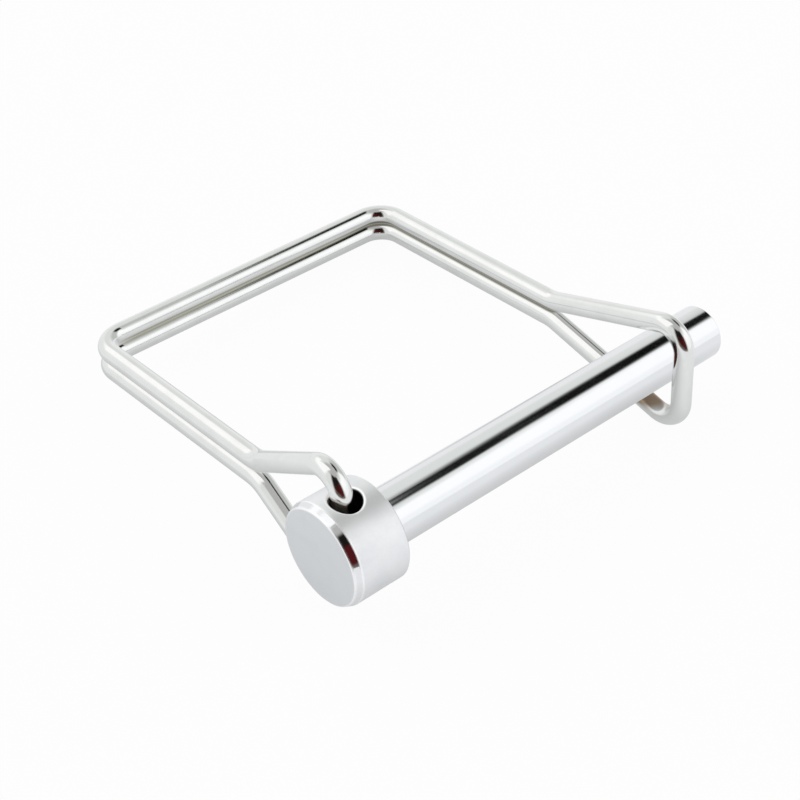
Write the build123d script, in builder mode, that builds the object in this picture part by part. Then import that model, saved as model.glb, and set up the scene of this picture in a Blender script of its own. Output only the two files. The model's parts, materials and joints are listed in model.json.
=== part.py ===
"""Wire lock pin: a turned, cross-drilled pin and the square spring-wire bail that locks it.

Sizes are in millimetres. The design frame has its origin at the centre of the head's underside,
+X along the shank to the tip, +Y from the shank to the square of the bail, and +Z along the cross
hole, square to the plane of the bail. The finished pieces lie as the pin comes to rest on a table,
with +Z straight up and the same origin.
"""

import os
from math import asin, degrees, pi, radians, sin

from build123d import *

# Pin
shank_diameter = 8.0
shank_length = 62.0
tip_chamfer = 0.5
head_diameter = 14.5
head_length = 8.7
face_chamfer = 0.45
face_chamfer_length = 1.1
back_chamfer = 0.3

# Cross hole through the middle of the head, which is the bail's hinge
wire_diameter = 2.9
hinge_clearance = 0.65
mouth_rounding = 0.45

# Share of the play in the hinge that the pin, as it lies, has rolled through about its own axis
play_share = 0.85

# Square of the bail, measured to the wire's centreline
usable_length = 49.5
bail_reach = 58.1
split_reach = 19.1
strand_gap = 0.1
corner_radius = 4.0

# Legs from the square to the cross hole
heel_height = 12.2
heel_lean = 0.9
heel_radius = 3.4
split_radius = 6.0
end_depth = 5.0
end_chamfer = 0.3

# Loop round the shank
loop_height = 8.6
loop_clearance = 0.65
loop_radius = 3.4

# Rounds of the search for the plane that the bail rests on
settling_steps = 12

# Values that follow from the sizes above
shank_radius = shank_diameter / 2
head_radius = head_diameter / 2
wire_radius = wire_diameter / 2
hinge_x = -head_length / 2
cross_hole_radius = wire_radius + hinge_clearance
roll = degrees(asin(play_share * hinge_clearance / head_radius))
heel_side_x = hinge_x + heel_lean
loop_x = usable_length + wire_radius
loop_reach = shank_radius + loop_clearance + wire_radius
strand_height = wire_radius + strand_gap / 2

# Upper strand of the wire, from its end inside the head to the loop's corner
wire_end = Vector(hinge_x, 0, head_radius - end_depth)
heel = Vector(hinge_x, 0, heel_height)
heel_split = Vector(heel_side_x, split_reach, strand_height)
heel_corner = Vector(heel_side_x, bail_reach, strand_height)
tip_corner = Vector(loop_x, bail_reach, strand_height)
tip_split = Vector(loop_x, split_reach, strand_height)
loop_corner = Vector(loop_x, -loop_reach, loop_height)

upper_route = [wire_end, heel, heel_split, heel_corner, tip_corner, tip_split, loop_corner]
upper_radii = [heel_radius, split_radius, corner_radius, corner_radius, split_radius, loop_radius]
lower_route = [Vector(point.X, point.Y, -point.Z) for point in reversed(upper_route)]
wire_route = upper_route + lower_route
wire_radii = upper_radii + upper_radii[::-1]


def low_point(corner_index: int, up: Vector) -> Vector:
    """The wire's lowest point, seen along up, in the bend at one corner of its route."""
    before, corner, after = wire_route[corner_index - 1 : corner_index + 2]
    radius = wire_radii[corner_index - 1]
    inwards, onwards = (before - corner).normalized(), (after - corner).normalized()
    half_angle = radians(inwards.get_angle(onwards)) / 2
    centre = corner + (inwards + onwards).normalized() * (radius / sin(half_angle))
    bend_axis = inwards.cross(onwards).normalized()
    up_in_bend = (up - bend_axis * up.dot(bend_axis)).normalized()
    return centre - up_in_bend * radius - up * wire_radius


def table_normal() -> Vector:
    """The normal of the table, which the bail touches at its loop, its heel and one far corner."""
    loop_low, _, tip_far, heel_far, _, heel_low = range(len(upper_route), len(wire_route) - 1)
    feet = [wire_route[index] for index in (heel_low, loop_low, tip_far)]
    for _ in range(settling_steps):
        up = (feet[1] - feet[0]).cross(feet[2] - feet[0]).normalized()
        far_low = min((tip_far, heel_far), key=lambda index: low_point(index, up).dot(up))
        feet = [low_point(index, up) for index in (heel_low, loop_low, far_low)]
    return up


# The row's frame as seen from the design frame, and the design frame as seen from the row's
up = table_normal()
row_frame = Plane(origin=(0, 0, 0), x_dir=Vector(1, 0, 0) - up * up.X, z_dir=up)
lie = Plane(row_frame.location.inverse())
shank_axis = Axis(lie.origin, lie.x_dir)

with BuildPart(lie) as headed_pin:
    with BuildSketch(lie):
        with BuildLine():
            Polyline(
                (-head_length, 0),
                (-head_length, head_radius - face_chamfer),
                (-head_length + face_chamfer_length, head_radius),
                (-back_chamfer, head_radius),
                (0, head_radius - back_chamfer),
                (0, shank_radius),
                (shank_length - tip_chamfer, shank_radius),
                (shank_length, shank_radius - tip_chamfer),
                (shank_length, 0),
                close=True,
            )
        make_face()
    revolve(axis=shank_axis)
    with Locations(Location((hinge_x, 0, 0), (roll, 0, 0))):
        Hole(cross_hole_radius)
    mouths = headed_pin.edges(Select.LAST).filter_by(GeomType.LINE, reverse=True)
    fillet(mouths, mouth_rounding)
headed_pin.part.label = "headed_pin"

with BuildPart(lie) as wire_bail:
    with BuildLine() as wire_path:
        FilletPolyline(*[lie.from_local_coords(point) for point in wire_route], radius=wire_radii)
    with BuildSketch(Plane(origin=wire_path.line @ 0, z_dir=wire_path.line % 0)):
        Circle(wire_radius)
    sweep()
    chamfer(wire_bail.faces().filter_by(GeomType.PLANE).edges(), end_chamfer)
wire_bail.part.label = "wire_bail"

os.makedirs("parts", exist_ok=True)
export_step(headed_pin.part, "parts/headed_pin.step")
export_step(wire_bail.part, "parts/wire_bail.step")

wire_length = wire_path.wire().length
section_area = pi * wire_radius**2
print("wire length", round(wire_length, 2))
print("wire volume over its section times its length", wire_bail.part.volume / (wire_length * section_area))
print("shank axis", lie.x_dir, "hinge axis", lie.z_dir)
print("hinge point", lie.from_local_coords((hinge_x, 0, 0)), "table height", wire_bail.part.bounding_box().min.Z)
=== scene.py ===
"""Looks of the wire lock pin: a turned, plated pin and the bright spring-wire bail that locks it.

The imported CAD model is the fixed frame. Both pieces are made again here as smooth surfaces of the
same sizes, because mirror-bright plating shows every facet of a mesh. Sizes are in millimetres in
the design frame of the pin: its origin is at the centre of the head's underside, x runs along the
shank to the tip, y from the shank to the square of the bail, and z along the cross hole. A Lie
turns them into the row's frame, in metres, in which the part lies on its table.
"""

import json
import logging
from dataclasses import dataclass
from enum import Enum
from math import atan, cos, pi, radians, sin, tan
from typing import Any

import bpy
import numpy as np
from mathutils import Matrix, Vector

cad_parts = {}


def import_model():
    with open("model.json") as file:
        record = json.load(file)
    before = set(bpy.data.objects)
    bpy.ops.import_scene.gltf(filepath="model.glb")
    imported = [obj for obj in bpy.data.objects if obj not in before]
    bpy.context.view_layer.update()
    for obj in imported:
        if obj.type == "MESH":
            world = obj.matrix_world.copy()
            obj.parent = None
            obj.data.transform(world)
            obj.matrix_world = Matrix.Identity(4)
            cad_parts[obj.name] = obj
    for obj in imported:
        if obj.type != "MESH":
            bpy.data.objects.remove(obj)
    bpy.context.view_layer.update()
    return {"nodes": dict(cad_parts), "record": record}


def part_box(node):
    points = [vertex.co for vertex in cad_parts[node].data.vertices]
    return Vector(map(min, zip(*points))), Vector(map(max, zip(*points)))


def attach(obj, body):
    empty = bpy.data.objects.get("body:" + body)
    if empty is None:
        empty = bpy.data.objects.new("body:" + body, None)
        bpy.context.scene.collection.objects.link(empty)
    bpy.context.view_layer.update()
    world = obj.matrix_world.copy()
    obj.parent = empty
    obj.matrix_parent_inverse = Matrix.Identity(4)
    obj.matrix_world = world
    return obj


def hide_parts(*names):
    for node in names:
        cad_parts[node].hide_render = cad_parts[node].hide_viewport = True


LOG = logging.getLogger("wire_lock_pin")
MM = 0.001
DEGREES = 180 / pi
MERGE_MM = 1e-4
ROUNDING_ERROR_MM = 1e-9

Array = np.ndarray
Colour = tuple[float, float, float]
Span = tuple[float, float]

WHITE: Colour = (1.0, 1.0, 1.0)


class Body(str, Enum):
    """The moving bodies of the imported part."""

    PIN = "pin"
    BAIL = "bail"


@dataclass(frozen=True)
class Lie:
    """How the design frame of the pin lies in the row's frame.

    Args:
        along: the shank's axis.
        across: the direction from the shank to the square of the bail.
        up: the axis of the cross hole.
    """

    along: Array
    across: Array
    up: Array

    @classmethod
    def from_record(cls, record: dict[str, Any]) -> "Lie":
        """Reads the shank's axis and the hinge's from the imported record.

        Args:
            record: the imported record.

        Returns:
            The lie of the part.
        """
        mounts = {mount["name"]: mount for mount in record["mounts"]}
        along = np.array(mounts["shank"]["axis"], float)
        up = np.array(record["behaviour"]["joints"][0]["axis"], float)
        along /= np.linalg.norm(along)
        across = np.cross(up, along)
        across /= np.linalg.norm(across)
        return cls(along, across, np.cross(along, across))

    def rolled(self, angle: float) -> "Lie":
        """The lie of something turned about the shank's axis, from across towards up."""
        across = cos(angle) * self.across + sin(angle) * self.up
        return Lie(self.along, across, cos(angle) * self.up - sin(angle) * self.across)

    def turn(self, vectors: Array) -> Array:
        """Turns directions of the design frame into the row's frame."""
        return vectors @ np.array([self.along, self.across, self.up])

    def place(self, points: Array) -> Array:
        """Turns points in millimetres of the design frame into metres of the row's frame."""
        return self.turn(points) * MM


@dataclass(frozen=True)
class Skin:
    """A surface worked out on a grid.

    Args:
        points: rows by columns by 3, in millimetres.
        normals: the outward direction at each point, in the same layout.
        marks: what a pattern that follows the surface reads, in the same layout.
    """

    points: Array
    normals: Array
    marks: Array | None = None

    def quads(self) -> Array:
        """The grid's faces.

        Returns:
            Four corners each, as indices into the flattened points.
        """
        rows, columns = self.points.shape[:2]
        index = np.arange(rows * columns).reshape(rows, columns)
        corners = (index[:-1, :-1], index[1:, :-1], index[1:, 1:], index[:-1, 1:])
        return np.stack(corners, axis=-1).reshape(-1, 4)

    def rows(self, kept: Array) -> "Skin":
        """The rows of the grid that a mask keeps."""
        return Skin(self.points[kept], self.normals[kept])

    def followed_by(self, other: "Skin") -> "Skin":
        """One surface of this one's rows and then another's."""
        points = np.concatenate([self.points, other.points])
        return Skin(points, np.concatenate([self.normals, other.normals]))

    def mirrored(self) -> "Skin":
        """The same surface on the other side of the bail's plane."""
        other_side = np.array([1.0, 1.0, -1.0])
        return Skin(self.points * other_side, self.normals * other_side)


def unit(vectors: Array) -> Array:
    """Each vector divided by its length, along the last axis."""
    return vectors / np.linalg.norm(vectors, axis=-1, keepdims=True)


def merged(skins: list[Skin]) -> tuple[Array, Array, Array, Array | None]:
    """Joins skins into one closed shell.

    Points that coincide become one, with the mean of their normals. Each face is turned so that
    the cross product of its diagonals agrees with the normals at its corners.

    Args:
        skins: the surfaces, which share the points along their common edges.

    Returns:
        The points, the normals, the faces with -1 for the fourth corner of a triangle, and marks.
    """
    points = np.concatenate([skin.points.reshape(-1, 3) for skin in skins])
    normals = np.concatenate([skin.normals.reshape(-1, 3) for skin in skins])
    starts = np.cumsum([0] + [skin.points.size // 3 for skin in skins[:-1]])
    quads = np.concatenate([skin.quads() + start for skin, start in zip(skins, starts)])
    keys = np.round(points / MERGE_MM).astype(np.int64)
    _, first, index = np.unique(keys, axis=0, return_index=True, return_inverse=True)
    index = index.reshape(-1)
    total = np.zeros((len(first), 3))
    np.add.at(total, index, normals)
    points, normals = points[first], unit(total)
    marks = None
    if all(skin.marks is not None for skin in skins):
        marks = np.concatenate([skin.marks.reshape(-1, 3) for skin in skins])[first]
    quads = index[quads]
    same = quads == np.roll(quads, -1, axis=1)
    whole, thin = quads[same.sum(axis=1) == 0], quads[same.sum(axis=1) == 1]
    triangles = thin[~same[same.sum(axis=1) == 1]].reshape(-1, 3)
    faces = np.vstack([whole, np.hstack([triangles, np.full((len(triangles), 1), -1)])])
    last = np.where(faces[:, 3] < 0, faces[:, 2], faces[:, 3])
    diagonal = points[faces[:, 2]] - points[faces[:, 0]]
    facing = np.cross(diagonal, points[last] - points[faces[:, 1]])
    wrong = (facing * (normals[faces[:, 0]] + normals[faces[:, 2]])).sum(axis=1) < 0
    four, three = wrong & (faces[:, 3] >= 0), wrong & (faces[:, 3] < 0)
    faces[four] = faces[four][:, ::-1]
    faces[three] = faces[three][:, [2, 1, 0, 3]]
    return points, normals, faces, marks


def placed(name: str, data: bpy.types.ID) -> bpy.types.Object:
    """Puts a mesh or a camera into the scene.

    Args:
        name: the object's name.
        data: the mesh or camera.

    Returns:
        The object, at the origin.
    """
    thing = bpy.data.objects.new(name, data)
    bpy.context.scene.collection.objects.link(thing)
    return thing


def open_edges(quads: Array, triangles: Array) -> int:
    """Counts the edges that don't lie between exactly two faces.

    Args:
        quads: the faces with four corners.
        triangles: the faces with three.

    Returns:
        The number, which is 0 for a closed shell.
    """
    sides = [np.stack([faces, np.roll(faces, -1, axis=1)], axis=-1) for faces in (quads, triangles)]
    edges = np.sort(np.concatenate([side.reshape(-1, 2) for side in sides]), axis=1)
    _, counts = np.unique(edges, axis=0, return_counts=True)
    return int((counts != 2).sum())


def mesh_piece(
    name: str, skins: list[Skin], lie: Lie, finish: bpy.types.Material
) -> bpy.types.Object:
    """Makes one object of skins, smooth, with the exact normals of its formulas.

    Args:
        name: the piece's name.
        skins: its surfaces in the design frame.
        lie: how the design frame lies in the row's.
        finish: its material.

    Returns:
        The object, at the origin, with its place in its mesh.
    """
    points, normals, faces, marks = merged(skins)
    mesh = bpy.data.meshes.new(name)
    triangles = faces[faces[:, 3] < 0][:, :3]
    quads = faces[faces[:, 3] >= 0]
    mesh.from_pydata(lie.place(points).tolist(), [], quads.tolist() + triangles.tolist())
    mesh.shade_smooth()
    mesh.normals_split_custom_set_from_vertices(lie.turn(normals).tolist())
    if marks is not None:
        layer = mesh.attributes.new("marks", "FLOAT_VECTOR", "POINT")
        layer.data.foreach_set("vector", marks.astype(np.float32).ravel())
    mesh.materials.append(finish)
    LOG.info("%s: %d points, %d open edges", name, len(points), open_edges(quads, triangles))
    return placed(name, mesh)


def rounded(
    corners: list[tuple[float, ...]], radii: list[float], arc_step: float, run_step: float
) -> tuple[Array, Array]:
    """A line through corners with a tangent arc at each inner one.

    An arc of radius R in a corner whose runs turn by an angle T starts R tan(T/2) before the
    corner. Its points are the rotation of its first radius about the arc's centre.

    Args:
        corners: the corners, two or three numbers each.
        radii: one radius for each inner corner.
        arc_step: the largest turn between two points of an arc, in degrees.
        run_step: the longest step along a straight run.

    Returns:
        The points, and the direction of travel at each.
    """
    route = np.array(corners, float)
    headings = unit(np.diff(route, axis=0))
    points, ways = [], []
    start = route[0]
    for corner, before, after, radius in zip(route[1:-1], headings[:-1], headings[1:], radii):
        turn = np.arccos(np.clip(before @ after, -1, 1))
        entry = corner - before * radius * tan(turn / 2)
        steps = max(1, int(np.ceil(np.linalg.norm(entry - start) / run_step)))
        share = np.linspace(0, 1, steps, endpoint=False)[:, None]
        points.append(start + (entry - start) * share)
        ways.append(np.repeat(before[None], steps, axis=0))
        inward = unit(after - before * (before @ after))
        count = max(2, int(np.ceil(np.degrees(turn) / arc_step)))
        angle = np.linspace(0, turn, count, endpoint=False)[:, None]
        points.append(entry + radius * (before * np.sin(angle) + inward * (1 - np.cos(angle))))
        ways.append(before * np.cos(angle) + inward * np.sin(angle))
        start = entry + radius * (before * sin(turn) + inward * (1 - cos(turn)))
    steps = max(1, int(np.ceil(np.linalg.norm(route[-1] - start) / run_step)))
    share = np.linspace(0, 1, steps + 1)[:, None]
    points.append(start + (route[-1] - start) * share)
    ways.append(np.repeat(headings[-1][None], steps + 1, axis=0))
    return np.concatenate(points), np.concatenate(ways)


@dataclass(frozen=True)
class Tree:
    """Adds nodes to one node tree."""

    nodes: bpy.types.NodeTree

    def feed(self, socket: bpy.types.NodeSocket, value: Any) -> None:
        """Joins a Signal or an output to an input socket, or sets the socket to a plain value.

        Args:
            socket: the input socket.
            value: what it gets.
        """
        source = value.socket if isinstance(value, Signal) else value
        if isinstance(source, bpy.types.NodeSocket):
            self.nodes.links.new(source, socket)
        else:
            socket.default_value = source

    def add(
        self, kind: str, inputs: dict[str | int, Any] | None = None, **settings: Any
    ) -> bpy.types.Node:
        """Adds a node, with its settings first and then its sockets.

        Args:
            kind: the node's type.
            inputs: a value, a Signal or an output socket for each named or numbered socket.
            settings: the node's own properties.

        Returns:
            The node.
        """
        node = self.nodes.nodes.new(kind)
        for name, value in settings.items():
            setattr(node, name, value)
        for name, value in (inputs or {}).items():
            self.feed(node.inputs[name], value)
        return node

    def maths(self, operation: str, *terms: Any, clamp: bool = False) -> "Signal":
        """Adds a Math node.

        Args:
            operation: what it does.
            terms: what it does it to.
            clamp: whether the result is kept between 0 and 1.

        Returns:
            Its result.
        """
        inputs = dict(enumerate(terms))
        node = self.add("ShaderNodeMath", inputs, operation=operation, use_clamp=clamp)
        return Signal(self, node.outputs[0])

    def bump(self, height: "Signal", depth: float) -> bpy.types.NodeSocket:
        """The normal of a surface whose height varies by up to a depth in metres."""
        inputs = {"Height": height, "Distance": depth, "Strength": 1.0}
        return self.add("ShaderNodeBump", inputs).outputs[0]

    def dot(self, place: Any, axis: Array) -> "Signal":
        """The share of a place along an axis."""
        node = self.add("ShaderNodeVectorMath", {0: place, 1: tuple(axis)}, operation="DOT_PRODUCT")
        return Signal(self, node.outputs["Value"])

    def coordinates(self, *axes: Array) -> tuple["Signal", ...]:
        """The place on the object along each axis, in millimetres."""
        place = self.add("ShaderNodeTexCoord").outputs["Object"]
        return tuple(self.dot(place, axis / MM) for axis in axes)

    def mix(self, share: Any, low: Any, high: Any) -> bpy.types.NodeSocket:
        """Mixes two colours.

        Args:
            share: how much of the second is in the mix.
            low: the first, a Colour or an output socket.
            high: the second.

        Returns:
            The mix.
        """
        low, high = ((*ink, 1) if isinstance(ink, tuple) else ink for ink in (low, high))
        node = self.add("ShaderNodeMix", {0: share, 6: low, 7: high}, data_type="RGBA")
        return node.outputs[2]


@dataclass(frozen=True)
class Signal:
    """A number that changes over a surface, for use in Python expressions."""

    tree: Tree
    socket: bpy.types.NodeSocket

    def __add__(self, other: Any) -> "Signal":
        """The sum."""
        return self.tree.maths("ADD", self, other)

    def __radd__(self, other: Any) -> "Signal":
        """The sum, from the right."""
        return self.tree.maths("ADD", other, self)

    def __sub__(self, other: Any) -> "Signal":
        """The difference."""
        return self.tree.maths("SUBTRACT", self, other)

    def __rsub__(self, other: Any) -> "Signal":
        """The difference, from the right."""
        return self.tree.maths("SUBTRACT", other, self)

    def __mul__(self, other: Any) -> "Signal":
        """The product."""
        return self.tree.maths("MULTIPLY", self, other)

    def __rmul__(self, other: Any) -> "Signal":
        """The product, from the right."""
        return self.tree.maths("MULTIPLY", other, self)

    def __truediv__(self, other: Any) -> "Signal":
        """The quotient."""
        return self.tree.maths("DIVIDE", self, other)

    def __pow__(self, other: Any) -> "Signal":
        """The power."""
        return self.tree.maths("POWER", self, other)

    def __abs__(self) -> "Signal":
        """The size without its sign."""
        return self.tree.maths("ABSOLUTE", self)

    def most(self, other: Any) -> "Signal":
        """The larger of two."""
        return self.tree.maths("MAXIMUM", self, other)

    def clamped(self) -> "Signal":
        """The same, kept between 0 and 1."""
        return self.tree.maths("ADD", self, 0.0, clamp=True)

    def rise(self, span: Span, base: float = 0.0) -> "Signal":
        """0 below a span, 1 above it, and a smooth rise over it.

        Args:
            span: the low and high end, measured from the base.
            base: where the span is measured from.

        Returns:
            The share, from 0 to 1.
        """
        inputs = {"Value": self, "From Min": base + span[0], "From Max": base + span[1]}
        node = self.tree.add("ShaderNodeMapRange", inputs, interpolation_type="SMOOTHSTEP")
        return Signal(self.tree, node.outputs["Result"])

    def fall(self, span: Span, base: float = 0.0) -> "Signal":
        """1 below a span, 0 above it, and a smooth fall over it."""
        return 1 - self.rise(span, base)


def length_of(first: Signal, second: Signal) -> Signal:
    """The length of two shares at right angles: the root of the sum of their squares."""
    return (first * first + second * second) ** 0.5


@dataclass(frozen=True)
class Grain:
    """A noise pattern, stretched along a piece or across it.

    Args:
        scales: how many cells it has in a millimetre of each coordinate.
        detail: how many finer layers it has.
        roughness: how strong each finer layer is.
    """

    scales: tuple[float, float, float]
    detail: float
    roughness: float

    def at(self, tree: Tree, *place: Signal) -> Signal:
        """Finds the pattern's value.

        Args:
            tree: the material's nodes.
            place: three coordinates.

        Returns:
            The value there, from 0 to 1.
        """
        cells = (coordinate * scale for coordinate, scale in zip(place, self.scales))
        cell = tree.add("ShaderNodeCombineXYZ", dict(enumerate(cells))).outputs[0]
        inputs = {"Vector": cell, "Scale": 1.0, "Detail": self.detail, "Roughness": self.roughness}
        return Signal(tree, tree.add("ShaderNodeTexNoise", inputs).outputs["Fac"])


def blank_material(name: str) -> tuple[bpy.types.Material, Tree, bpy.types.Node]:
    """A material with its Principled shader.

    Args:
        name: the material's name.

    Returns:
        The material, its tree and its shader node.
    """
    material = bpy.data.materials.new(name)
    material.use_nodes = True
    return material, Tree(material.node_tree), material.node_tree.nodes["Principled BSDF"]


@dataclass(frozen=True)
class PinZones:
    """Masks of the pin's zones, each 1 in its zone and 0 outside it."""

    shank: Signal
    side: Signal
    face: Signal
    bore: Signal
    painted_highlight: Signal


@dataclass(frozen=True)
class TurnedPlating:
    """Bright zinc plating on the turned pin.

    The chamfers are mirror-like and the ground shank nearly so. The head's side, underside and face
    were only turned, so they are satin, with fine rings. The bore is pale brown towards the head's
    face, and painted near black towards the tip as painted shade. The edges of the face's chamfer
    and of the hole's mouths are painted near white as a painted highlight.
    """

    name: str = "plated_pin"
    bright: Colour = (0.80, 0.81, 0.82)
    dull: Colour = (0.70, 0.72, 0.74)
    # Near white on the chamfer's edges and round the mouths: a painted highlight
    highlight_white: Colour = (0.97, 0.97, 0.98)
    turned: Colour = (0.90, 0.91, 0.92)
    faced: Colour = (0.77, 0.785, 0.80)
    # Near black in the bore towards the tip: painted shade in the hole
    bore_shade_black: Colour = (0.012, 0.012, 0.012)
    bore_brown: Colour = (0.75, 0.69, 0.62)
    mirror_roughness: float = 0.07
    shank_roughness: float = 0.09
    side_roughness: float = 0.45
    face_roughness: float = 0.40
    bore_roughness: float = 0.42
    highlight_roughness: float = 0.3

    # Patterns, by the places along the shank and across it, and for the swirls by radius first
    blotches: Grain = Grain((0.22, 0.3, 0.3), 4, 0.55)
    specks: Grain = Grain((3.1, 3.1, 3.1), 3, 0.6)
    rings: Grain = Grain((8.5, 0.25, 0.25), 3, 0.6)
    swirls: Grain = Grain((8.5, 0.2, 0.2), 3, 0.6)
    drag_lines: Grain = Grain((0.07, 5.5, 5.5), 3, 0.5)

    # How strong a pattern is where it begins to show and where it shows in full
    scuffing_lines: Span = (0.60, 0.78)
    scuffed_blotches: Span = (0.42, 0.66)
    hazy_blotches: Span = (0.5, 0.8)
    tarnished_blotches: Span = (0.35, 0.8)

    # What the patterns add to the roughness and to the tarnish
    scuff_haze: float = 0.05
    blotch_haze: float = 0.02
    side_mottle: float = 0.12
    face_mottle: float = 0.08
    tarnish_share: float = 0.12
    satin_tarnish: float = 0.2
    tarnish_mottle: float = 0.25

    # Depth of the rings in metres, and the other patterns' shares of it
    ring_depth: float = 2.5e-6
    swirl_height: float = 0.8
    line_height: float = 0.12
    speck_height: float = 0.1
    satin_height: float = 0.8

    # Soft edges of the zones in millimetres, from the edge that each is named for
    hole_edge: Span = (0.02, 0.25)
    bore_end: Span = (-0.5, -0.4)
    face_edge: Span = (0.05, 0.15)
    rim_edge: Span = (-0.25, -0.05)
    shoulder_edge: Span = (-0.12, 0.1)
    back_edge: Span = (-0.05, 0.0)
    under_edge: Span = (-0.4, -0.2)
    shank_edge: Span = (0.05, 0.2)
    shank_start: Span = (0.0, 0.05)
    mouth_start: Span = (0.0, 0.1)
    highlight_shoulder: Span = (0.06, 0.22)
    highlight_rim: Span = (0.04, 0.16)
    bore_shade_edge: Span = (-0.9, 0.1)

    # Where the painted highlight's ring round a mouth ends, in shares of the mouth's rounding
    mouth_end: Span = (0.8, 1.2)

    def zones(self, pin: "HeadedPin", x: Signal, y: Signal, radius: Signal) -> PinZones:
        """Finds the zones of the pin.

        Args:
            pin: the pin.
            x: the place along the shank, from the head's underside.
            y: the place across it, towards the square of the bail.
            radius: the distance from the shank's axis.

        Returns:
            The masks.
        """
        rim = pin.head_diameter / 2 - pin.face_chamfer
        shoulder = pin.face_chamfer_length - pin.head_length
        from_axis = length_of(x - pin.hinge_x, y)
        bore = from_axis.fall(self.hole_edge, pin.hole_diameter / 2) * x.fall(self.bore_end)
        face = x.fall(self.face_edge, -pin.head_length) * radius.fall(self.rim_edge, rim)
        side = x.rise(self.shoulder_edge, shoulder) * x.fall(self.back_edge)
        under = radius.rise(self.shank_edge, pin.shank_diameter / 2) * x.rise(self.under_edge)
        side = side.most(under) * (1 - bore)
        shank = x.rise(self.shank_start)
        from_hole = from_axis - pin.hole_diameter / 2
        mouth_end = tuple(pin.mouth_rounding * share for share in self.mouth_end)
        mouth = from_hole.fall(mouth_end) * from_hole.rise(self.mouth_start)
        # Painted highlight: near white on the edges of the face's chamfer and round the hole's
        # mouths
        painted_highlight = abs(x - shoulder).fall(self.highlight_shoulder)
        painted_highlight = painted_highlight.most(abs(radius - rim).fall(self.highlight_rim) * (1 - side))
        painted_highlight = painted_highlight.most(mouth * side) * (1 - shank) * (1 - bore)
        return PinZones(shank, side, face, bore, painted_highlight)

    def material(self, lie: Lie, pin: "HeadedPin") -> bpy.types.Material:
        """Makes the material.

        Args:
            lie: how the pin's design frame lies in the row's.
            pin: the pin, for the places of its zones.

        Returns:
            The material.
        """
        material, tree, shader = blank_material(self.name)
        x, y, z = tree.coordinates(lie.along, lie.across, lie.up)
        radius = length_of(y, z)
        zone = self.zones(pin, x, y, radius)
        satin = zone.side.most(zone.face)

        blotch = self.blotches.at(tree, x, y, z)
        speck = self.specks.at(tree, x, y, z)
        mottle = speck - 0.5
        rings = self.rings.at(tree, x, y, z)
        swirl = self.swirls.at(tree, radius, y, z)
        drag = self.drag_lines.at(tree, x, y, z)
        scuff = drag.rise(self.scuffing_lines) * blotch.rise(self.scuffed_blotches)

        tarnish = self.tarnish_share + satin * self.satin_tarnish
        tarnish = blotch.rise(self.tarnished_blotches) * tarnish
        tarnish = tarnish + mottle * satin * self.tarnish_mottle
        # The bore: pale brown towards the head's face, and near black towards the tip as painted
        # shade
        painted_shade_tone = tree.mix((x - pin.hinge_x).rise(self.bore_shade_edge), self.bore_brown, self.bore_shade_black)
        plating = tree.mix(zone.face, tree.mix(zone.side, self.bright, self.turned), self.faced)
        plating = tree.mix(tarnish.clamped(), plating, self.dull)
        plating = tree.mix(zone.bore, plating, painted_shade_tone)
        # The edges are mixed to near white as a painted highlight
        tree.feed(shader.inputs["Base Color"], tree.mix(zone.painted_highlight, plating, self.highlight_white))

        mirror, hazy = self.mirror_roughness, blotch.rise(self.hazy_blotches)
        rough = mirror + scuff * self.scuff_haze + hazy * self.blotch_haze
        rough = rough + zone.shank * (self.shank_roughness - mirror)
        rough = rough + zone.side * (self.side_roughness - mirror + mottle * self.side_mottle)
        rough = rough + zone.face * (self.face_roughness - mirror + mottle * self.face_mottle)
        rough = rough + zone.bore * (self.bore_roughness - mirror)
        rough = rough * (1 - zone.painted_highlight) + zone.painted_highlight * self.highlight_roughness
        tree.feed(shader.inputs["Roughness"], rough.clamped())

        height = zone.side * rings + zone.face * swirl * self.swirl_height
        height = height + (1 - satin) * (drag * self.line_height + speck * self.speck_height)
        height = height + satin * speck * self.satin_height
        tree.feed(shader.inputs["Normal"], tree.bump(height, self.ring_depth))
        tree.feed(shader.inputs["Metallic"], 1.0)
        return material


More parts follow.
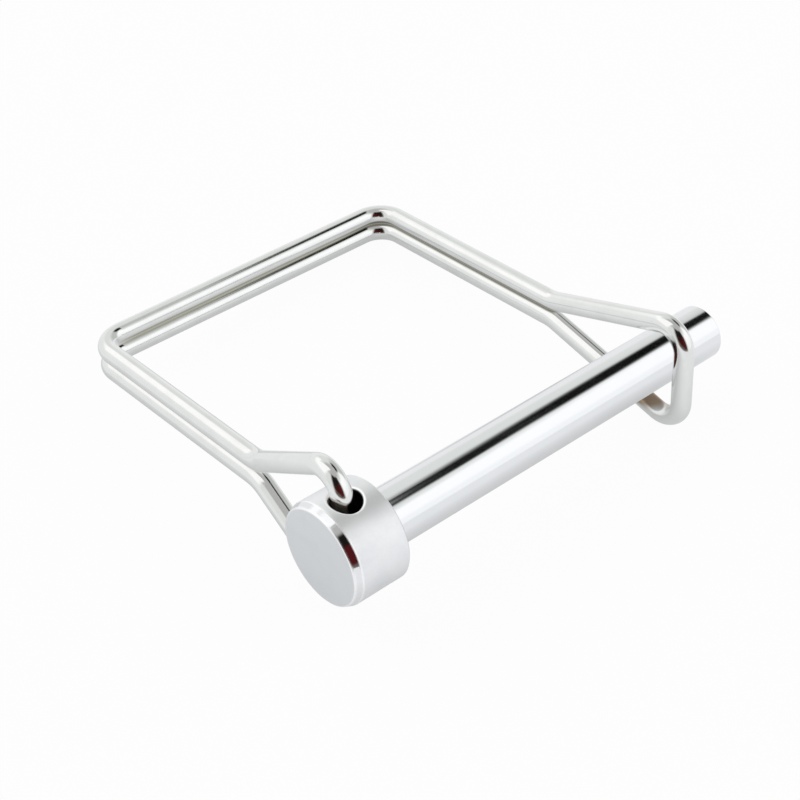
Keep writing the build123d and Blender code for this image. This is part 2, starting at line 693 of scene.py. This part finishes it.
@dataclass(frozen=True)
class DrawnPlating:
    """Bright plating on drawn spring wire, with faint drawing lines along it and rubbed spots.

    Between the doubled wires it is painted olive as shade and reflection, darker towards the tip.
    Painted shade makes it brown where the loop's lower bend faces the shank, and dark down the
    loop's inner side.
    """

    name: str = "plated_wire"
    bright: Colour = (0.80, 0.805, 0.795)
    dull: Colour = (0.66, 0.67, 0.645)
    # Painted shade and reflection between the doubled wires, darker towards the tip
    gap_shade_olive: Colour = (0.44, 0.435, 0.36)
    gap_shade_dark: Colour = (0.20, 0.19, 0.15)
    # Painted shade: dark down the loop's inner side, and brown where the lower bend faces the shank
    painted_shade_tone: Colour = (0.07, 0.05, 0.045)
    shade_brown: Colour = (0.32, 0.24, 0.17)
    roughness: float = 0.11

    # Patterns, by the two places in the wire's section and the place along it
    drawn_lines: Grain = Grain((5.0, 5.0, 0.09), 4, 0.6)
    smudges: Grain = Grain((0.5, 0.5, 0.3), 4, 0.6)
    specks: Grain = Grain((3.0, 3.0, 3.0), 2, 0.5)

    # How strong a pattern is where it begins to show and where it shows in full
    scuffing_lines: Span = (0.58, 0.75)
    scuffed_smudges: Span = (0.4, 0.65)
    hazy_smudges: Span = (0.5, 0.8)
    tarnished_smudges: Span = (0.35, 0.8)

    # What the patterns add to the roughness and to the tarnish
    scuff_haze: float = 0.09
    smudge_haze: float = 0.05
    speck_haze: float = 0.02
    smudge_tarnish: float = 0.3
    scuff_tarnish: float = 0.25
    speck_tarnish: float = 0.1

    # Depth of the drawing lines in metres, and the specks' share of it
    line_depth: float = 1.2e-6
    speck_height: float = 0.3

    # Soft edges of the painted shade between the doubled wires, in millimetres of the design frame
    gap_low: Span = (-0.32, -0.12)
    gap_high: Span = (0.9, 1.25)
    gap_start: Span = (-6.0, 0.0)
    heel_side: Span = (-2.0, 3.0)
    heel_share: float = 0.2
    darkening: Span = (40.0, 48.0)

    # Soft edges of the painted shade at the loop, in millimetres, the reaches from the wire's own
    loop_side: Span = (30.0, 35.0)
    brown_reach: Span = (0.2, 1.2)
    brown_top: Span = (-5.2, -4.2)
    inner_shade_reach: Span = (0.35, 0.85)

    def material(self, lie: Lie, bail: "WireBail") -> bpy.types.Material:
        """Makes the material, which reads the wire's marks: the place in its section and along it.

        Args:
            lie: how the design frame lies in the row's.
            bail: the bail, for the places of its strands.

        Returns:
            The material.
        """
        material, tree, shader = blank_material(self.name)
        marks = tree.add("ShaderNodeAttribute", attribute_name="marks").outputs["Vector"]
        on_wire = [tree.dot(marks, axis) for axis in np.eye(3)]
        lines = self.drawn_lines.at(tree, *on_wire)
        smudge = self.smudges.at(tree, *on_wire)
        speck = self.specks.at(tree, *on_wire)
        mottle = speck - 0.5
        scuff = lines.rise(self.scuffing_lines) * smudge.rise(self.scuffed_smudges)

        x, y, z = tree.coordinates(lie.along, lie.across, lie.up)
        # Painted shade and reflection in the gap between the doubled wires
        gap_shade = z.rise(self.gap_low) * z.fall(self.gap_high)
        gap_shade = gap_shade * y.rise(self.gap_start, bail.split_reach)
        gap_shade = gap_shade * (x.rise(self.heel_side) * (1 - self.heel_share) + self.heel_share)
        from_shank, at_loop = length_of(y, z), x.rise(self.loop_side)
        # Painted shade where the loop's lower bend faces the shank, and down the loop's inner side
        shade_against_shank = from_shank.fall(self.brown_reach, bail.loop_reach) * z.fall(self.brown_top)
        inner = bail.loop_reach - bail.wire_diameter / 2
        inner_loop_shade = from_shank.fall(self.inner_shade_reach, inner) * at_loop

        tarnish = smudge.rise(self.tarnished_smudges) * self.smudge_tarnish
        tarnish = tarnish + scuff * self.scuff_tarnish + mottle * self.speck_tarnish
        plating = tree.mix(tarnish.clamped(), self.bright, self.dull)
        gap_shade_colour = tree.mix(x.rise(self.darkening), self.gap_shade_olive, self.gap_shade_dark)
        plating = tree.mix(gap_shade, plating, gap_shade_colour)
        plating = tree.mix(shade_against_shank * at_loop, plating, self.shade_brown)
        tree.feed(shader.inputs["Base Color"], tree.mix(inner_loop_shade, plating, self.painted_shade_tone))

        rough = self.roughness + scuff * self.scuff_haze
        rough = rough + smudge.rise(self.hazy_smudges) * self.smudge_haze + mottle * self.speck_haze
        tree.feed(shader.inputs["Roughness"], rough.clamped())
        height = lines + speck * self.speck_height
        tree.feed(shader.inputs["Normal"], tree.bump(height, self.line_depth))
        tree.feed(shader.inputs["Metallic"], 1.0)
        return material


@dataclass(frozen=True)
class HeadedPin:
    """The turned pin: shank and head in one piece, with a hole across the head."""

    shank_diameter: float = 8.0
    shank_length: float = 62.0
    tip_chamfer: float = 0.5
    head_diameter: float = 14.5
    head_length: float = 8.7
    face_chamfer: float = 0.45
    face_chamfer_length: float = 1.1
    back_chamfer: float = 0.3
    hinge_x: float = -4.35
    hole_diameter: float = 4.2
    mouth_rounding: float = 0.45
    roll: float = radians(4.37)
    edge_rounding: float = 0.12
    face_rounding: float = 0.3
    shoulder_rounding: float = 0.9

    # Fineness of the mesh: largest turn in degrees, longest step in millimetres, and counts
    arc_step: float = 5.0
    run_step: float = 2.0
    columns: int = 256
    collar_columns: int = 26
    band_rows: int = 24
    collar_rows: int = 12
    mouth_rows: int = 8
    bore_rows: int = 14

    def turned(self, corners: list[tuple[float, float]], radii: list[float]) -> Skin:
        """A profile carried round the shank's axis: (x, r sin A, r cos A) at radius r and angle A.

        Args:
            corners: the profile's corners, from the head to the tip.
            radii: one rounding for each inner corner.

        Returns:
            The surface.
        """
        profile, ways = rounded(corners, radii, self.arc_step, self.run_step)
        (x, radius), (way_x, way_out) = profile.T[:, :, None], ways.T[:, :, None]
        angle = self.round_angles()[None]
        sine, cosine, level = np.sin(angle), np.cos(angle), np.ones_like(angle)
        points = np.stack([x * level, radius * sine, radius * cosine], axis=-1)
        normals = np.stack([-way_out * level, way_x * sine, way_x * cosine], axis=-1)
        return Skin(points, normals)

    def side(self, x: Array, angle: Array) -> Skin:
        """The head's side: (x, R sin A, R cos A) at length x and angle A from the top.

        Args:
            x: the lengths, one or as many as angles.
            angle: the angles.

        Returns:
            The surface.
        """
        radius = self.head_diameter / 2
        normals = np.stack([np.zeros_like(angle), np.sin(angle), np.cos(angle)], axis=-1)
        points = normals * radius
        points[..., 0] = x
        return Skin(points, normals)

    def skins(self) -> list[Skin]:
        """Every surface of the pin.

        Returns:
            The turned ends, the head's side, the collars round the mouths, the mouths and the bore.
        """
        head, shank, fine = self.head_diameter / 2, self.shank_diameter / 2, self.edge_rounding
        face, middle, tip = -self.head_length, self.hinge_x, self.shank_length
        shoulder = self.face_chamfer_length - self.head_length
        front = [(face, 0), (face, head - self.face_chamfer), (shoulder, head), (middle, head)]
        rear = [(middle, head), (-self.back_chamfer, head), (0, head - self.back_chamfer)]
        rear += [(0, shank), (tip - self.tip_chamfer, shank), (tip, shank - self.tip_chamfer)]
        rear += [(tip, 0)]
        # The runs of both profiles along the head's side are left to the bands and collars
        front_turn, back_turn = atan(self.face_chamfer / self.face_chamfer_length), radians(45)
        low = shoulder + self.shoulder_rounding * tan(front_turn / 2)
        high = -self.back_chamfer - fine * tan(back_turn / 2)
        front_end = self.turned(front, [self.face_rounding, self.shoulder_rounding])
        rear_end = self.turned(rear, [fine] * 5)
        front_end = front_end.rows(front_end.points[:, 0, 0] <= low + ROUNDING_ERROR_MM)
        rear_end = rear_end.rows(rear_end.points[:, 0, 0] >= high - ROUNDING_ERROR_MM)
        low_ring, high_ring = (self.side(x, self.round_angles()[None]) for x in (low, high))
        skins = [front_end.followed_by(low_ring), high_ring.followed_by(rear_end)]

        step, reach, rows = 2 * pi / self.columns, self.collar_columns, self.band_rows
        lengths = np.linspace(low, high, rows + 1)
        for start in (reach, self.columns // 2 + reach):
            angle = step * np.arange(start, start + self.columns // 2 - 2 * reach + 1)
            skins.append(self.side(*np.meshgrid(lengths, angle, indexing="ij")))
        across = step * np.arange(-reach, reach + 1)
        edge_x = [np.full(2 * reach, high), lengths[:0:-1], np.full(2 * reach, low), lengths]
        edge_angle = [across[:-1], np.full(rows, across[-1]), across[:0:-1]]
        edge_angle.append(np.full(rows + 1, across[0]))
        top = self.collar(np.concatenate(edge_x), np.concatenate(edge_angle), middle)
        for skin in top:
            skins += [skin, skin.mirrored()]
        skins.append(self.bore(top[1]))
        return skins

    def round_angles(self) -> Array:
        """The angles of the turned surfaces' columns."""
        return np.linspace(0, 2 * pi, self.columns + 1)

    def collar(self, edge_x: Array, edge_angle: Array, hole_x: float) -> list[Skin]:
        """The head's side round one mouth of the cross hole, and the mouth's rounding.

        The rounding is what a ball of its radius leaves that rolls in the corner between the side,
        of radius R, and the hole, of radius r: the ball's centre is r + ball from the hole's axis
        and R - ball from the shank's. The collar runs straight from the ball's line of contact to
        the edge of its patch, in length and angle.

        Args:
            edge_x: lengths round the edge of the patch.
            edge_angle: angles from the top round the edge of the patch.
            hole_x: the hole's place along the shank.

        Returns:
            The collar and the rounding.
        """
        radius, bore, ball = self.head_diameter / 2, self.hole_diameter / 2, self.mouth_rounding
        bearing = np.arctan2(edge_angle * radius, edge_x - hole_x)
        cosine, sine = np.cos(bearing), np.sin(bearing)
        centre_y = (bore + ball) * sine
        centre_z = np.sqrt((radius - ball) ** 2 - centre_y**2)
        centre = np.stack([hole_x + (bore + ball) * cosine, centre_y, centre_z], axis=-1)
        inner_angle = np.arctan2(centre_y, centre_z)
        share = np.linspace(0, 1, self.collar_rows + 1)[:, None]
        x = centre[:, 0] + (edge_x - centre[:, 0]) * share
        angle = inner_angle + (edge_angle - inner_angle) * share
        collar = self.side(x, angle)
        inward = np.stack([-cosine, -sine, np.zeros_like(sine)], axis=-1)
        outward = np.stack([np.zeros_like(sine), np.sin(inner_angle), np.cos(inner_angle)], axis=-1)
        gap_shade_colour = np.arccos((inward * outward).sum(axis=-1))[:, None]
        share = np.linspace(0, 1, self.mouth_rows + 1)[:, None, None]
        normals = np.sin((1 - share) * gap_shade_colour) * inward + np.sin(share * gap_shade_colour) * outward
        normals /= np.sin(gap_shade_colour)
        return [collar, Skin(centre + ball * normals, normals)]

    def bore(self, mouth: Skin) -> Skin:
        """The hole's wall, from one mouth's rounding straight to its mirror image.

        Args:
            mouth: the rounding.

        Returns:
            The surface.
        """
        start = mouth.points[0]
        share = np.linspace(1, -1, self.bore_rows + 1)[:, None]
        points = np.repeat(start[None], self.bore_rows + 1, axis=0)
        points[..., 2] = start[:, 2] * share
        return Skin(points, np.repeat(mouth.normals[:1], self.bore_rows + 1, axis=0))

    def build(self, lie: Lie) -> bpy.types.Object:
        """Makes and dresses the pin, rolled about its own axis by part of the hinge's play."""
        lie = lie.rolled(self.roll)
        return mesh_piece("turned_pin", self.skins(), lie, TurnedPlating().material(lie, self))


@dataclass(frozen=True)
class WireBail:
    """The bail: one length of spring wire, bent into a doubled square with a loop and two legs."""

    wire_diameter: float = 2.9
    hinge_x: float = -4.35
    bail_reach: float = 58.1
    split_reach: float = 19.1
    strand_gap: float = 0.1
    corner_radius: float = 4.0
    heel_height: float = 12.2
    heel_lean: float = 0.9
    heel_radius: float = 3.4
    split_radius: float = 6.0
    end_height: float = 2.25
    end_chamfer: float = 0.3
    loop_x: float = 50.95
    loop_reach: float = 6.1
    loop_height: float = 8.6
    loop_radius: float = 3.4

    # Fineness of the mesh: largest turn in degrees, longest step in millimetres, and a count
    arc_step: float = 2.0
    run_step: float = 1.5
    columns: int = 56

    def skins(self) -> list[Skin]:
        """The wire's surface: a circle carried along its route.

        A point of the tube is the route's point plus the wire's radius times (side cos A + lift
        sin A), where side and lift turn with each bend about its own axis and so never twist.

        Returns:
            The one surface, closed at both ends.
        """
        radius = self.wire_diameter / 2
        side, height = self.hinge_x + self.heel_lean, radius + self.strand_gap / 2
        upper = [
            (self.hinge_x, 0.0, self.end_height),
            (self.hinge_x, 0.0, self.heel_height),
            (side, self.split_reach, height),
            (side, self.bail_reach, height),
            (self.loop_x, self.bail_reach, height),
            (self.loop_x, self.split_reach, height),
            (self.loop_x, -self.loop_reach, self.loop_height),
        ]
        lower = [(x, y, -z) for x, y, z in upper[::-1]]
        bends = [self.heel_radius, self.split_radius, self.corner_radius, self.corner_radius]
        bends += [self.split_radius, self.loop_radius]
        line, ways = rounded(upper + lower, bends + bends[::-1], self.arc_step, self.run_step)
        # The end's chamfer and cap: the section shrinks over the first and last points
        cut = self.end_chamfer
        start, end = line[:1], line[-1:]
        first, last = start + ways[:1] * cut, end - ways[-1:] * cut
        line = np.concatenate([start, start, first, line[1:-1], last, end, end])
        ways = np.concatenate([ways[:1], ways[:1], ways, ways[-1:], ways[-1:]])
        size = np.full(len(line), radius)
        size[[0, -1]], size[[1, -2]] = 0.0, radius - cut
        frames = self.frames(ways)
        angle = np.linspace(0, 2 * pi, self.columns + 1)
        cosine, sine = np.cos(angle), np.sin(angle)
        ring = frames[:, 0, None] * cosine[:, None] + frames[:, 1, None] * sine[:, None]
        points = line[:, None] + ring * size[:, None, None]
        normals = ring.copy()
        normals[0], normals[-1] = -ways[0], ways[-1]
        normals[1], normals[-2] = unit(ring[1] - ways[0]), unit(ring[-2] + ways[-1])
        travel = np.concatenate([[0], np.cumsum(np.linalg.norm(np.diff(line, axis=0), axis=1))])
        marks = np.broadcast_arrays(radius * cosine, radius * sine, travel[:, None])
        return [Skin(points, normals, np.stack(marks, axis=-1))]

    @staticmethod
    def frames(ways: Array) -> Array:
        """Two directions square to the wire at each point of it, carried along without twist.

        Args:
            ways: the wire's direction at each point.

        Returns:
            For each point, the side and the lift.
        """
        slanting = [0.31, 0.95, 0.0]
        frames = np.empty((len(ways), 2, 3))
        side = unit(np.cross(ways[0], slanting))
        frames[0] = side, np.cross(ways[0], side)
        for place in range(1, len(ways)):
            before, after = ways[place - 1], ways[place]
            frames[place] = frames[place - 1]
            if np.cross(before, after).any():
                # The turn that takes one direction to the next, applied to the side and the lift
                lean = frames[place] @ after
                frames[place] -= lean[:, None] * (before + after) / (1 + before @ after)
        return frames

    def build(self, lie: Lie) -> bpy.types.Object:
        """Makes the bail and dresses it. No plating mirrors it, neither the pin's nor its own.

        Args:
            lie: how the design frame lies in the row's.

        Returns:
            The object.
        """
        bail = mesh_piece("spring_wire_bail", self.skins(), lie, DrawnPlating().material(lie, self))
        bail.visible_glossy = False
        return bail


@dataclass(frozen=True)
class Viewpoint:
    """The camera: its place, lens and sensor in millimetres, and its reach in metres."""

    position: tuple[float, float, float] = (-89.2949, -113.2153, 152.5378)
    forward: tuple[float, float, float] = (0.473001, 0.567878, -0.673635)
    upward: tuple[float, float, float] = (0.455441, 0.496905, 0.738686)
    lens: float = 75.2287
    sensor: float = 36.0
    nearest: float = 0.005
    farthest: float = 50.0

    def build(self) -> None:
        """Makes the camera and sets it as the scene's."""
        data = bpy.data.cameras.new("photo_camera")
        data.sensor_width, data.lens = self.sensor, self.lens
        data.clip_start, data.clip_end = self.nearest, self.farthest
        camera = placed("photo_camera", data)
        back = -Vector(self.forward).normalized()
        right = Vector(self.upward).cross(back).normalized()
        turn = Matrix((right, back.cross(right), back)).transposed().to_4x4()
        camera.matrix_world = Matrix.Translation(Vector(self.position) * MM) @ turn
        bpy.context.scene.camera = camera


@dataclass(frozen=True)
class Panel:
    """A soft-edged panel of the tent, placed by where it stands as seen from the part, in degrees.

    Args:
        azimuth: the direction of its middle, from the shank's tip towards the square of the bail.
        elevation: the height of its middle above the horizon.
        half_width: half its width.
        half_height: half its height.
        soft: how far its sides fade, inwards and outwards, and then its top and bottom.
        colour: its light.
    """

    azimuth: float
    elevation: float
    half_width: float
    half_height: float
    soft: tuple[float, float]
    colour: Colour

    def mask(self, tree: Tree, way: bpy.types.NodeSocket, height: Signal) -> Signal:
        """How much of the panel is seen in a direction.

        The angle to its side is the arc tangent of the direction's share aside of the panel over
        its share towards it.

        Args:
            tree: the world's nodes.
            way: the direction.
            height: the direction's elevation in degrees.

        Returns:
            The share, from 0 to 1.
        """
        turn = radians(self.azimuth)
        ahead = tree.dot(way, np.array([cos(turn), sin(turn), 0.0]))
        aside = tree.dot(way, np.array([-sin(turn), cos(turn), 0.0]))
        off = abs(tree.maths("ARCTAN2", aside, ahead)) * DEGREES
        over = abs(height - self.elevation)
        side, edge = self.soft
        return off.fall((-side, side), self.half_width) * over.fall((-edge, edge), self.half_height)


@dataclass(frozen=True)
class Studio:
    """A white table in a light tent, with the dark room behind the camera and a slit in the tent.

    Args:
        floor_reach: how far the table top goes each way, in metres.
        camera_glow: how much of the table top glows white, as the camera sees it.
        mirror_glow: how much of it glows, as metal mirrors it.
        near_floor_shadow: the glow that metal mirrors close to the part, darker as a painted
            shadow.
        far_floor: the glow that metal mirrors away from it.
        outline_low: one corner of the oblong that the shank and wires lie over, in millimetres.
        outline_high: its opposite corner.
        outline_reach: how far from the oblong's line the glow of the far floor begins.
        outline_falloff: the power of the way there, below 1 for a painted shadow that stays close.
        tent: the light of the tent between its panels.
        panels: the tent's panels, each over the ones before it.
    """

    floor_reach: float = 6.0
    camera_glow: float = 0.95
    mirror_glow: float = 0.8
    # Darker close to the part: a painted shadow in what metal mirrors
    near_floor_shadow: Colour = (0.58, 0.59, 0.59)
    far_floor: Colour = (1.02, 1.03, 1.05)
    outline_low: tuple[float, float] = (-3.4, 0.0)
    outline_high: tuple[float, float] = (51.0, 58.1)
    outline_reach: float = 28.0
    outline_falloff: float = 0.6
    tent: Colour = (0.86, 0.88, 0.86)
    panels: tuple[Panel, ...] = (
        # The top, all round
        Panel(0.0, 90.0, 180.0, 30.0, (8.0, 8.0), (0.54, 0.54, 0.53)),
        # White cloth low beyond the square's tip side, and greyer cloth beyond the tip
        Panel(62.0, 6.0, 24.0, 12.0, (8.0, 8.0), (0.98, 0.98, 0.98)),
        Panel(10.0, 25.0, 22.0, 32.0, (12.0, 12.0), (0.62, 0.63, 0.615)),
        # Beyond the square: white cloth low down, and two soft lamps over it
        Panel(120.0, 14.0, 44.0, 13.0, (6.0, 6.0), (0.97, 0.98, 0.98)),
        Panel(132.0, 62.0, 32.0, 23.0, (7.0, 5.0), (1.2, 1.2, 1.2)),
        Panel(120.0, 35.0, 42.0, 10.0, (6.0, 6.0), (1.22, 1.22, 1.22)),
        # Before the shank, on the tip's side: two soft lamps
        Panel(-47.0, 10.0, 35.0, 16.0, (7.0, 7.0), (1.12, 1.13, 1.15)),
        Panel(-47.0, 32.5, 33.0, 15.0, (6.0, 6.0), (1.22, 1.22, 1.235)),
        # Behind the camera: the dark room, with a dark red in it
        Panel(-128.0, 28.0, 38.0, 38.0, (8.0, 6.0), (0.17, 0.145, 0.125)),
        Panel(-130.0, 40.0, 33.0, 25.0, (8.0, 3.0), (0.012, 0.010, 0.010)),
        Panel(-132.0, 22.0, 20.0, 12.0, (8.0, 8.0), (0.055, 0.008, 0.006)),
        Panel(-109.0, 25.0, 13.0, 19.0, (5.0, 4.0), (0.085, 0.010, 0.012)),
        # Above the tip: a black slit, in four steps
        Panel(0.0, 55.9, 21.5, 3.1, (8.0, 1.0), (0.004, 0.004, 0.004)),
        Panel(6.0, 51.0, 20.0, 3.0, (9.0, 2.0), (0.004, 0.004, 0.004)),
        Panel(9.0, 47.5, 18.5, 3.0, (9.0, 2.0), (0.004, 0.004, 0.004)),
        Panel(13.5, 43.8, 15.5, 3.2, (8.0, 2.0), (0.004, 0.004, 0.004)),
    )

    def build(self, table: float) -> None:
        """Makes the table top, at a height in metres, and the tent."""
        self.build_floor(table)
        self.build_tent()

    def mirrored_floor(self, tree: Tree) -> bpy.types.NodeSocket:
        """The glow of the table top as metal mirrors it, darker close to the part as a painted
        shadow.

        The distance from the oblong's line is, outside it, the length of what each coordinate is
        past its half size, and inside it the smaller of what each lacks.

        Args:
            tree: the floor's nodes.

        Returns:
            The colour.
        """
        x, y = tree.coordinates(*np.eye(3)[:2])
        (low_x, low_y), (high_x, high_y) = self.outline_low, self.outline_high
        past_x = abs(x - (low_x + high_x) / 2) - (high_x - low_x) / 2
        past_y = abs(y - (low_y + high_y) / 2) - (high_y - low_y) / 2
        outer = length_of(past_x.most(0.0), past_y.most(0.0))
        inner = (past_x.most(past_y) * -1.0).most(0.0)
        away = (abs(outer - inner) / self.outline_reach).clamped() ** self.outline_falloff
        return tree.mix(away, self.near_floor_shadow, self.far_floor)

    def build_floor(self, table: float) -> None:
        """Makes the table top.

        It is part diffuse, which keeps the shadow, and part glowing: white as the camera sees it,
        and its own tone as metal mirrors it, with a painted shadow close to the part.

        Args:
            table: its height in metres.
        """
        material = bpy.data.materials.new("white_table")
        material.use_nodes = True
        material.node_tree.nodes.clear()
        tree = Tree(material.node_tree)
        path = tree.add("ShaderNodeLightPath").outputs
        rays = ("Is Camera Ray", "Is Glossy Ray", "Is Transmission Ray")
        seen, glossy, through = (Signal(tree, path[ray]) for ray in rays)
        glow_share = (1 - seen) * glossy.most(through) * self.mirror_glow
        glow_share = seen * self.camera_glow + glow_share
        tone = tree.mix(seen, self.mirrored_floor(tree), WHITE)
        diffuse = tree.add("ShaderNodeBsdfDiffuse", {"Color": (*WHITE, 1)}).outputs[0]
        glow = tree.add("ShaderNodeEmission", {"Color": tone, "Strength": 1.0}).outputs[0]
        both = tree.add("ShaderNodeMixShader", {0: glow_share, 1: diffuse, 2: glow}).outputs[0]
        tree.add("ShaderNodeOutputMaterial", {"Surface": both})

        ways = ((-1, -1), (1, -1), (1, 1), (-1, 1))
        corners = [(x * self.floor_reach, y * self.floor_reach, table) for x, y in ways]
        mesh = bpy.data.meshes.new("table_top")
        mesh.from_pydata(corners, [], [(0, 1, 2, 3)])
        mesh.materials.append(material)
        floor = placed("table_top", mesh)

    def build_tent(self) -> None:
        """Makes the world: the tent's panels over one another, and white for the camera."""
        world = bpy.data.worlds.new("tent")
        world.use_nodes = True
        tree = Tree(world.node_tree)
        way = tree.add("ShaderNodeTexCoord").outputs["Generated"]
        height = tree.maths("ARCSINE", tree.dot(way, np.array([0.0, 0.0, 1.0]))) * DEGREES
        light: Any = self.tent
        for panel in self.panels:
            light = tree.mix(panel.mask(tree, way, height), light, panel.colour)
        seen = Signal(tree, tree.add("ShaderNodeLightPath").outputs["Is Camera Ray"])
        background = world.node_tree.nodes["Background"]
        tree.feed(background.inputs["Color"], tree.mix(seen, light, WHITE))
        bpy.context.scene.world = world


def main(frame: dict[str, Any]) -> None:
    """Builds the part's pieces, the camera and the studio, in order.
    """
    lie = Lie.from_record(frame["record"])
    pin = HeadedPin().build(lie)
    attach(pin, Body.PIN.value)
    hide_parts("headed_pin")
    bail = WireBail().build(lie)
    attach(bail, Body.BAIL.value)
    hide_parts("wire_bail")
    for piece in (pin, bail):
        LOG.info("%s: %d faces", piece.name, len(piece.data.polygons))
    Viewpoint().build()
    Studio().build(table=min(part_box(node)[0][2] for node in frame["nodes"]))
    bpy.context.scene.view_settings.view_transform = "Standard"


if __name__ == "__main__":
    logging.basicConfig(level=logging.INFO, format="%(message)s")
    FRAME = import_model()
    main(FRAME)
